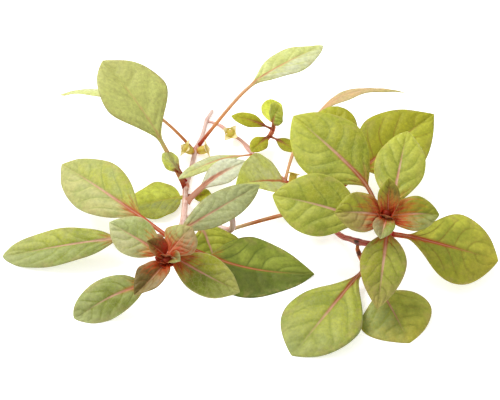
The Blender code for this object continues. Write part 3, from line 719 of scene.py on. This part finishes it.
def capsule_material():
    """Fleshy seed capsule: smooth green-yellow skin, orange at its foot and cream at its sepals.

    Full flesh under a smooth skin gives a soft highlight on each of the four ridges.
    """
    found = bpy.data.materials.get("capsule_skin")
    if found:
        return found
    made, add = new_material("capsule_skin")
    along = add("SeparateXYZ", (add("Attribute", out=1, attribute_name="place"),))
    mottle = add("TexNoise", {
        "Vector": add("TexCoord", out=3), "Scale": 1 / (CAPSULE_MOTTLE_SIZE * MM), "Detail": 3})
    colour = "orange"
    for over, step in (
            ("capsule", (along, 0, 0.4, 0, 1)),
            ("moss", (mottle, 0.45, 0.7, 0, 0.6)),
            ("orange", (mottle, 0.3, 0.45, 0.4, 0)),
            ("sepal", (along, 1.1, 1.6, 0, 0.9)),
            ("orange", (along, 1.75, 2, 0, 0.6))):
        colour = add("Mix", {0: soft_share(add, step), 6: colour, 7: over}, 2, data_type="RGBA")
    bump = add("Bump", {"Height": mottle, "Strength": 0.4, "Distance": 0.08 * MM})
    add("OutputMaterial", (add("BsdfPrincipled", {
        "Base Color": colour, "Roughness": 0.42, "IOR": 1.45, "Normal": bump}),))
    return made


def floor_material():
    """Matt white paper on a light table, so that hardly a shadow shows."""
    made, add = new_material("white_paper")
    settings = bpy.context.scene.sprig_stage
    colour = (*settings.floor_colour, 1)
    add("OutputMaterial", (add("BsdfPrincipled", {
        "Base Color": colour, "Roughness": 0.9, "Specular IOR Level": 0.1, "Emission Color": colour,
        "Emission Strength": settings.floor_glow}),))
    return made


def eased(share):
    """A share from 0 to 1, with a soft start and end."""
    share = min(1, max(0, share))
    return share * share * (3 - 2 * share)


def smooth_route(points, step):
    """Points about a step apart on a smooth curve through the given points, ends included."""
    ends = [points[0] * 2 - points[1], *points, points[-1] * 2 - points[-2]]
    smooth = [points[0]]
    for before, here, there, after in zip(ends, ends[1:], ends[2:], ends[3:]):
        count = max(1, round((there - here).length / step))
        for i in range(1, count + 1):
            t = i / count
            smooth.append(0.5 * (
                2 * here + (there - before) * t + (2 * before - 5 * here + 4 * there - after) * t**2
                + (3 * here - before - 3 * there + after) * t**3))
    return smooth


def stem_run(stem):
    """A stem's centre line in the sprig's frame, with the distance of each point from its start."""
    points = smooth_route([Vector(point) for point in stem.route], STEM_STEP)
    run = [0.0]
    for here, there in zip(points, points[1:]):
        run.append(run[-1] + (there - here).length)
    return points, run


STEM_RUNS = {name: stem_run(stem) for name, stem in STEMS.items()}


def node_closeness(stem, at):
    """How close a place on a stem is to a swollen node, from 0 to 1."""
    return sum(math.exp(-(((at - node) / NODE_REACH) ** 2)) for node in stem.nodes)


def stem_radius(stem, at, length):
    """Half the stem's width at a distance along it, with its swollen nodes."""
    radius = (stem.start_width + (stem.end_width - stem.start_width) * at / length) / 2
    return radius * (1 + NODE_SWELL * node_closeness(stem, at))


def in_skin(name, at, goal):
    """Where a piece that leaves a stem towards a goal starts, sunk into the stem's skin."""
    points, run = STEM_RUNS[name]
    at = min(at, run[-1])
    i = next(i for i in range(1, len(run)) if run[i] >= at)
    along = (points[i] - points[i - 1]).normalized()
    centre = points[i - 1] + along * (at - run[i - 1])
    heading = goal - centre
    outward = heading - along * heading.dot(along)
    return centre + outward.normalized() * stem_radius(STEMS[name], at, run[-1]) * SUNK_SHARE


def metres(point):
    """A point of the sprig's frame in metres, with the sprig's middle on the Z axis."""
    return Vector((point[0] - SPRIG_MIDDLE[0], point[1] - SPRIG_MIDDLE[1], point[2])) * MM


def above_table(height, floor):
    """A height kept above the floor, with a soft bend where it would go through."""
    depth = height - floor
    if depth >= TABLE_BLEND:
        return height
    if depth <= -TABLE_BLEND:
        return floor
    return floor + (depth + TABLE_BLEND) ** 2 / (4 * TABLE_BLEND)


def half_width_at(leaf, u, length):
    """Half the leaf's width at a share u of its length."""
    shape = OUTLINES[leaf.outline]
    stalk = STALK_WIDTH / 2 * shape.stalk * min(1, leaf.width / SMALL_LEAF_WIDTH)
    stalk *= 1 + STALK_FLARE * (1 - eased(u * length / STALK_FLARE_REACH))
    if u <= leaf.stalk:
        return stalk
    s = min(1, (u - leaf.stalk) / (1 - leaf.stalk))
    if s < shape.widest:
        rise = (1 - (1 - s / shape.widest) ** shape.base_bow) ** shape.base_wedge
        blade = shape.foot + (1 - shape.foot) * rise
    else:
        blade = (1 - ((s - shape.widest) / (1 - shape.widest)) ** shape.tip_bow) ** shape.tip_blunt
    return math.hypot(stalk * (1 - s), leaf.width / 2 * blade)


def leaf_heading(leaf, u):
    """The direction of a leaf's midrib at a share u of its length: X ahead, Y left and Z up."""
    arch = eased(u) - 0.5
    knee = eased((u - leaf.stalk) / KNEE_SPAN + 0.5) - 0.5
    down = math.radians(leaf.arch * arch + leaf.knee_down * knee)
    left = math.radians(leaf.turn * arch + leaf.knee_left * knee)
    return Vector((math.cos(left) * math.cos(down), math.sin(left) * math.cos(down), -math.sin(down)))


class LeafForm:
    """The bent frame of one leaf and the fine relief of its blade."""

    def __init__(self, name, leaf, foot=None):
        self.leaf = leaf
        self.sizes = bpy.context.scene.sprig_sizes
        self.phase = sum(map(ord, name)) % PHASES
        tip = Vector(leaf.tip)
        self.foot = foot or in_skin(leaf.stem, leaf.at, tip)
        chord = tip - self.foot
        self.midrib = [Vector((0, 0, 0))]
        for i in range(BEND_STEPS):
            self.midrib.append(self.midrib[-1] + leaf_heading(leaf, (i + 0.5) / BEND_STEPS))
        self.stride = chord.length / self.midrib[-1].length
        self.length = self.stride * BEND_STEPS
        ahead = chord.normalized()
        left = Vector((0, 0, 1)).cross(ahead).normalized()
        straighten = self.midrib[-1].rotation_difference(Vector((1, 0, 0))).to_matrix()
        self.turn = Matrix((ahead, left, ahead.cross(left))).transposed() @ straighten

    def set_row(self, u):
        """Work out what all points at a share u of the length have in common."""
        leaf = self.leaf
        place = u * BEND_STEPS
        i = min(int(place), BEND_STEPS - 1)
        self.middle = self.midrib[i].lerp(self.midrib[i + 1], place - i) * self.stride
        along = leaf_heading(leaf, u)
        roll = math.radians(leaf.roll)
        side = Vector((0, math.cos(roll), math.sin(roll)))
        self.side = (side - along * side.dot(along)).normalized()
        self.face = along.cross(self.side)
        self.half_width = half_width_at(leaf, u, self.length)
        self.blade = (u - leaf.stalk) / (1 - leaf.stalk)

    def vein_phase(self, v):
        """Where a point lies between two side veins; each whole number is a vein."""
        blade, out = self.blade, abs(v)
        shift = 0.5 if v > 0 else 0
        wander = math.sin(LONG_WAVE * blade + self.phase) + math.sin(
            SHORT_WAVE * blade + CROSS_WAVE * out + 2 * self.phase + 2 * shift)
        start = blade - VEIN_RISE * out - VEIN_CURL * out**2
        return start * self.sizes.side_veins + shift + VEIN_WANDER * wander + 2

    def swell(self, v):
        """How far the blade's middle layer stands off its smooth form: bulges, quilting and wavy edge."""
        blade, out, sizes = self.blade, abs(v), self.sizes
        if blade <= 0:
            return 0
        fade = (
            eased(blade / FADE_AT_ENDS) * eased((1 - blade) / FADE_AT_ENDS) * eased((1 - out) / FADE_AT_EDGE)
            * eased(out / FADE_AT_RIB))
        near = abs(self.vein_phase(v) % 1 - 0.5) * 2
        quilt = sizes.quilt_height * (1 - near**2) - sizes.groove_depth * near**GROOVE_SHARPNESS
        narrow = min(1, 4 * self.half_width / self.leaf.width)
        wave = math.sin(2 * math.pi * (EDGE_WAVES * blade + self.phase / PHASES) + LEFT_EDGE_SHIFT * (v > 0))
        wave *= sizes.wave_height * out**2 * eased(blade / WAVE_START) * narrow**2
        bulge = sizes.bulge_share * self.half_width * out * (1 - out) * 4 * eased(blade / BULGE_START)
        return min(1, self.leaf.width / FULL_RELIEF_WIDTH) * (quilt * fade + wave) + bulge

    def thickness(self, v):
        """How far the upper skin and the under skin stand off the middle layer."""
        round_stalk = self.sizes.stalk_depth / 2 * math.sqrt(max(0, 1 - v * v))
        sheet = self.sizes.blade_thickness / 2 * (1 - EDGE_THINNING * abs(v) ** 3)
        sheet *= min(1, NARROW_THICKNESS + self.half_width)
        blend = eased((self.blade + FLATTEN_BEFORE) / FLATTEN_SPAN)
        half = round_stalk + (sheet - round_stalk) * blend
        to_tip = max(0, min(1, self.blade))
        rib_width = RIB_FOOT_WIDTH - RIB_TAPER * to_tip
        rib = math.exp(-((self.half_width * v / rib_width) ** 2)) * blend * (1 - to_tip)
        scale = min(1, self.leaf.width / FULL_THICKNESS_WIDTH)
        return (max((half + height * rib) * scale, RIM_THICKNESS / 2) for height in (RIB_ABOVE, RIB_BELOW))

    def point(self, v, side):
        """A point of the leaf's upper side (1) or under side (-1), v from -1 at the right edge to 1."""
        fold = math.radians(self.leaf.fold)
        out = self.half_width * v
        upper, lower = self.thickness(v)
        sheet = self.foot + self.turn @ (
            self.middle + self.side * out * math.cos(fold)
            + self.face * (abs(out) * math.sin(fold) + self.swell(v)))
        point = sheet + self.turn @ self.face * (upper if side > 0 else -lower)
        point.z += above_table(sheet.z, lower) - sheet.z
        if point.z < TABLE_FLAT:
            point.z = max(0, point.z)
        return point


def double_sheet(bm, rows, columns):
    """Add a closed flat sheet, and list its vertices with their row, column and side, 1 above or -1 below."""
    grid = bmesh.ops.create_grid(bm, x_segments=rows, y_segments=columns, size=1)["verts"]
    faces = list(dict.fromkeys(face for vert in grid for face in vert.link_faces))
    made = bmesh.ops.extrude_face_region(bm, geom=faces)["geom"]
    below = [item for item in made if isinstance(item, bmesh.types.BMVert)]
    sheet = [
        (vert, round((vert.co.x + 1) / 2 * rows), round((vert.co.y + 1) / 2 * columns), side)
        for side, verts in ((1, grid), (-1, below)) for vert in verts]
    return sorted(sheet, key=lambda item: item[1:])


def leaf_mesh(bm, name, leaf, foot=None, detail=1.0):
    """Add one leaf to a bmesh as a closed sheet with its stalk, veins and edge."""
    form = LeafForm(name, leaf, foot)
    size = min(1, LEAST_DETAIL + leaf.width / FULL_DETAIL_WIDTH) * detail
    rows = round(form.sizes.blade_rows * size)
    columns = 2 * round(form.sizes.blade_columns * size / 2)
    layers = bm.verts.layers
    spot = layers.float_vector.get("place") or layers.float_vector.new("place")
    under_layer, vein_layer = (layers.float.get(key) or layers.float.new(key) for key in ("under", "vein"))
    by_row = {}
    for vert, row, column, side in double_sheet(bm, rows, columns):
        by_row.setdefault(row, []).append((vert, column, side))
    stalk_rows = round(rows * STALK_ROW_SHARE) if leaf.stalk > 0.1 else 2
    for row, verts in by_row.items():
        if row <= stalk_rows:
            u = leaf.stalk * row / stalk_rows
        else:
            u = leaf.stalk + (1 - leaf.stalk) * (row - stalk_rows) / (rows - stalk_rows)
        form.set_row(u)
        along = form.blade if u > leaf.stalk else u / leaf.stalk - 1
        for vert, column, side in verts:
            share = 2 * column / columns - 1
            v = math.copysign(abs(share) ** COLUMN_CROWDING, share)
            vert.co = metres(form.point(v, side))
            vert[spot] = (along, v, abs(v) * form.half_width)
            vert[vein_layer] = form.vein_phase(v)
            vert[under_layer] = 0.0 if side > 0 else 1.0
    bmesh.ops.remove_doubles(bm, verts=[vert for vert, _, _ in by_row[rows]], dist=TIP_WELD * MM)


def add_object(name, data):
    """Add an object with its data to the scene."""
    made = bpy.data.objects.new(name, data)
    bpy.context.scene.collection.objects.link(made)
    return made


def add_mesh(name, bm, material):
    """Turn a bmesh into an object of one material."""
    mesh = bpy.data.meshes.new(name)
    bm.to_mesh(mesh)
    bm.free()
    mesh.materials.append(material)
    return add_object(name, mesh)


def finish_piece(name, bm, material, node):
    """Make a bmesh a finished piece that replaces its plain solid.

    Extruding leaves vertices and faces in an order that changes from run to run, so both are sorted.
    """
    for items, place in ((bm.verts, lambda vert: vert.co), (bm.faces, lambda face: face.calc_center_median())):
        ranks = {item: rank for rank, item in enumerate(sorted(items, key=lambda item: place(item).to_tuple()))}
        items.sort(key=ranks.get)
    bmesh.ops.recalc_face_normals(bm, faces=bm.faces)
    piece = add_mesh(name, bm, material)
    piece.data.shade_smooth()
    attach(piece, "root")
    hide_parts(node)


def add_leaf(node, leaf):
    """One leaf as a finished piece."""
    bm = bmesh.new()
    leaf_mesh(bm, node, leaf)
    finish_piece(node + "_blade", bm, leaf_material(leaf.finish), node)


def tube(bm, rings, sides, place):
    """Roll a grid into a closed tube. Place gives a point and its spot for a ring and an angle round it."""
    spot = bm.verts.layers.float_vector.new("place")
    seam = []
    for vert in bmesh.ops.create_grid(bm, x_segments=rings, y_segments=sides, size=1)["verts"]:
        column = round((vert.co.y + 1) / 2 * sides)
        vert.co, vert[spot] = place(round((vert.co.x + 1) / 2 * rings), 2 * math.pi * column / sides)
        if column in (0, sides):
            seam.append(vert)
    bmesh.ops.remove_doubles(bm, verts=seam, dist=SEAM_WELD * MM)
    bmesh.ops.holes_fill(bm, edges=[edge for edge in bm.edges if edge.is_boundary])


def around(side, across, angle):
    """The direction at an angle from one direction towards another."""
    return side * math.cos(angle) + across * math.sin(angle)


def add_stem(node, stem):
    """One stem as a smooth tube with swollen nodes, low ridges and closed ends.

    A shoot starts on the centre line of the stem that it grows from.
    """
    points, run = STEM_RUNS[node]
    if stem.parent:
        root = min(STEM_RUNS[stem.parent][0], key=lambda point: (point - points[0]).length)
        points, run = [root, *points], [-(points[0] - root).length, *run]
    headings = [(there - here).normalized() for here, there in zip(points, points[1:])]
    headings.append(headings[-1])
    rings = []
    side = headings[0].orthogonal().normalized()
    for i, (heading, at) in enumerate(zip(headings, run)):
        if i:
            side = headings[i - 1].rotation_difference(heading) @ side
        to_end = min(at - run[0], run[-1] - at) / END_ROUNDING
        radius = stem_radius(stem, at, run[-1]) * math.sqrt(1 - (1 - min(1, to_end + END_START)) ** 2)
        rings.append((points[i], side, heading.cross(side), radius, at, min(1, node_closeness(stem, at))))

    def place(ring, angle):
        centre, side, across, radius, at, closeness = rings[ring]
        ridge = 1 + RIDGE_SHARE * math.cos(RIDGES * angle)
        point = metres(centre + around(side, across, angle) * radius * ridge)
        point.z = max(point.z, 0)
        return point, (at, angle / (2 * math.pi), closeness)

    bm = bmesh.new()
    tube(bm, len(rings) - 1, bpy.context.scene.sprig_sizes.stem_sides, place)
    finish_piece(node + "_skin", bm, stem_material(stem.skin), node)


def add_capsule(node, fruit):
    """A four-angled seed capsule on its short foot, with a star of four sepals."""
    top = Vector(fruit.top)
    foot = in_skin(fruit.stem, fruit.at, top)
    axis = (top - foot).normalized()
    side = axis.orthogonal().normalized()
    across = axis.cross(side)

    def place(ring, angle):
        ridge, valley, along = CAPSULE_RINGS[ring]
        radius = valley + (ridge - valley) * (1 + math.cos(RIDGES * angle)) / 2
        point = metres(foot + axis * along + around(side, across, angle) * radius)
        return point, (along / CAPSULE_RINGS[-1][2], 0, 0)

    bm = bmesh.new()
    tube(bm, len(CAPSULE_RINGS) - 1, CAPSULE_SIDES, place)
    for i in range(RIDGES):
        out = around(side, across, 2 * math.pi * i / RIDGES)
        add_sepal(bm, foot + axis * SEPAL_FOOT[0] + out * SEPAL_FOOT[1], out, axis)
    finish_piece(node + "_skin", bm, capsule_material(), node)


def add_sepal(bm, foot, out, axis):
    """Add one pointed sepal that spreads from a capsule's rim."""
    spot = bm.verts.layers.float_vector["place"]
    ahead = around(axis, out, math.radians(SEPAL_SPREAD))
    side = axis.cross(out)
    face = ahead.cross(side)
    sheet = double_sheet(bm, SEPAL_ROWS, SEPAL_COLUMNS)
    for vert, row, column, sign in sheet:
        u = row / SEPAL_ROWS
        v = 2 * column / SEPAL_COLUMNS - 1
        half = SEPAL_WIDTH / 2 * (1 - u) ** SEPAL_POINT
        curve = SEPAL_BEND * u * u - SEPAL_CUP * v * v * (1 - u)
        lift = sign * SEPAL_HALF_DEPTH * (1 - SEPAL_TAPER * u)
        vert.co = metres(foot + ahead * SEPAL_LENGTH * u + side * half * v + face * (lift - curve))
        vert[spot] = (1 + u, 0, 0)
    tip = [vert for vert, row, _, _ in sheet if row == SEPAL_ROWS]
    bmesh.ops.remove_doubles(bm, verts=tip, dist=TIP_WELD * MM)


def add_bud(node, stem_name):
    """The growing point: a small egg of unopened leaves with four leaflets folded round it."""
    points, _ = STEM_RUNS[stem_name]
    end = points[-1]
    along = (end - points[-2]).normalized()
    side = along.orthogonal().normalized()
    across = along.cross(side)
    bm = bmesh.new()
    spot = bm.verts.layers.float_vector.new("place")
    for vert in bmesh.ops.create_uvsphere(bm, u_segments=24, v_segments=16, radius=0.5)["verts"]:
        width = EGG_WIDTH * (1 - EGG_TAPER * vert.co.z)
        vert[spot] = (0.3 + vert.co.z * 0.4, 0.4, 1)
        vert.co = metres(
            end + (side * vert.co.x + across * vert.co.y) * width
            + along * (EGG_MIDDLE + vert.co.z) * EGG_LENGTH)
    for i in range(LEAFLETS):
        out = around(side, across, 2 * math.pi * (i + 0.5) / LEAFLETS)
        foot = end + out * LEAFLET_FOOT
        up, spread = LEAFLET_TIPS[i % 2]
        tip = tuple(foot + along * up + out * spread)
        leaflet = Leaf(stem_name, 0, tip, LEAFLET_WIDTH, 0.05, "sessile", -50, 0, 0, 15, "heart", "red_leaf")
        leaf_mesh(bm, node + str(i), leaflet, foot, LEAFLET_DETAIL)
    finish_piece(node + "_leaflets", bm, leaf_material("heart"), node)


class SPRIG_OT_stems(bpy.types.Operator):
    """Model the stems and shoots"""

    bl_idname = "sprig.stems"
    bl_label = "Stems"

    def execute(self, context):
        for node, stem in STEMS.items():
            add_stem(node, stem)
        return {"FINISHED"}


class SPRIG_OT_left_leaves(bpy.types.Operator):
    """Model the leaves of the left stem"""

    bl_idname = "sprig.left_leaves"
    bl_label = "Left leaves"

    def execute(self, context):
        for node, row in LEFT_LEAVES.items():
            add_leaf(node, Leaf("left_stem", *row))
        return {"FINISHED"}


class SPRIG_OT_right_leaves(bpy.types.Operator):
    """Model the leaves of the right stem"""

    bl_idname = "sprig.right_leaves"
    bl_label = "Right leaves"

    def execute(self, context):
        for node, row in RIGHT_LEAVES.items():
            add_leaf(node, Leaf("right_stem", *row))
        return {"FINISHED"}


class SPRIG_OT_shoot_leaves(bpy.types.Operator):
    """Model the leaves of the short side shoots"""

    bl_idname = "sprig.shoot_leaves"
    bl_label = "Shoot leaves"

    def execute(self, context):
        for node, row in SHOOT_LEAVES.items():
            add_leaf(node, Leaf(*row))
        return {"FINISHED"}


class SPRIG_OT_capsules(bpy.types.Operator):
    """Model the seed capsules"""

    bl_idname = "sprig.capsules"
    bl_label = "Seed capsules"

    def execute(self, context):
        for node, fruit in CAPSULES.items():
            add_capsule(node, fruit)
        return {"FINISHED"}


class SPRIG_OT_buds(bpy.types.Operator):
    """Model the growing tips"""

    bl_idname = "sprig.buds"
    bl_label = "Growing tips"

    def execute(self, context):
        for node, stem_name in BUDS.items():
            add_bud(node, stem_name)
        return {"FINISHED"}


class SPRIG_OT_stage(bpy.types.Operator):
    """Set up the camera, the floor and the light"""

    bl_idname = "sprig.stage"
    bl_label = "Stage"

    def execute(self, context):
        add_camera()
        add_floor()
        add_lights(context.scene.sprig_stage)
        return {"FINISHED"}


def add_camera():
    """The camera at the photograph's angle: 45 degrees down from the front."""
    data = bpy.data.cameras.new("view")
    data.sensor_width = SENSOR_MM
    data.lens = LENS_MM
    camera = add_object("view", data)
    elevation = math.radians(VIEW_ELEVATION)
    back = VIEW_DISTANCE * math.cos(elevation)
    up = VIEW_DISTANCE * math.sin(elevation)
    camera.location = metres((VIEW_TARGET[0], VIEW_TARGET[1] - back, VIEW_TARGET[2] + up))
    camera.rotation_euler = (math.pi / 2 - elevation, 0, 0)
    bpy.context.scene.camera = camera


def add_floor():
    """A wide white floor under the sprig."""
    bm = bmesh.new()
    bmesh.ops.create_grid(bm, x_segments=1, y_segments=1, size=FLOOR_HALF_METRES)
    floor = add_mesh("floor", bm, floor_material())


def add_lights(settings):
    """Even white light from all round, and one large soft light high on the left."""
    scene = bpy.context.scene
    scene.view_settings.view_transform = "Standard"
    world = bpy.data.worlds.new("white_room")
    world.use_nodes = True
    background = world.node_tree.nodes["Background"]
    background.inputs["Color"].default_value = (1, 1, 1, 1)
    background.inputs["Strength"].default_value = settings.sky_strength
    scene.world = world
    data = bpy.data.lights.new("key", "AREA")
    data.shape = "DISK"
    data.size = KEY_METRES
    data.energy = settings.key_power
    key = add_object("key", data)
    key.location = KEY_PLACE_METRES
    key.rotation_euler = (Vector((0, 0, 0)) - key.location).to_track_quat("-Z", "Y").to_euler()


class SPRIG_PT_panel(bpy.types.Panel):
    """The sprig's pieces and settings"""

    bl_idname = "SPRIG_PT_panel"
    bl_label = "Ludwigia Sprig"
    bl_space_type = "VIEW_3D"
    bl_region_type = "UI"
    bl_category = "Sprig"

    def draw(self, context):
        layout = self.layout
        for operator in OPERATORS:
            layout.operator(operator.bl_idname)
        for settings in (context.scene.sprig_sizes, context.scene.sprig_colours, context.scene.sprig_stage):
            box = layout.box()
            for name in type(settings).__annotations__:
                box.prop(settings, name)


OPERATORS = (
    SPRIG_OT_stage, SPRIG_OT_stems, SPRIG_OT_left_leaves, SPRIG_OT_right_leaves, SPRIG_OT_shoot_leaves,
    SPRIG_OT_capsules, SPRIG_OT_buds,
)
CLASSES = (SprigSizes, SprigColours, SprigStage, *OPERATORS, SPRIG_PT_panel)


def register():
    """Add the classes and the scene's settings."""
    for cls in CLASSES:
        bpy.utils.register_class(cls)
    bpy.types.Scene.sprig_sizes = PointerProperty(type=SprigSizes)
    bpy.types.Scene.sprig_colours = PointerProperty(type=SprigColours)
    bpy.types.Scene.sprig_stage = PointerProperty(type=SprigStage)


def unregister():
    """Remove the scene's settings and the classes."""
    del bpy.types.Scene.sprig_stage
    del bpy.types.Scene.sprig_colours
    del bpy.types.Scene.sprig_sizes
    for cls in reversed(CLASSES):
        bpy.utils.unregister_class(cls)


def main():
    """Build the whole sprig."""
    register()
    bpy.ops.sprig.stage()
    bpy.ops.sprig.stems()
    bpy.ops.sprig.left_leaves()
    bpy.ops.sprig.right_leaves()
    bpy.ops.sprig.shoot_leaves()
    bpy.ops.sprig.capsules()
    bpy.ops.sprig.buds()


if __name__ == "__main__":
    main()
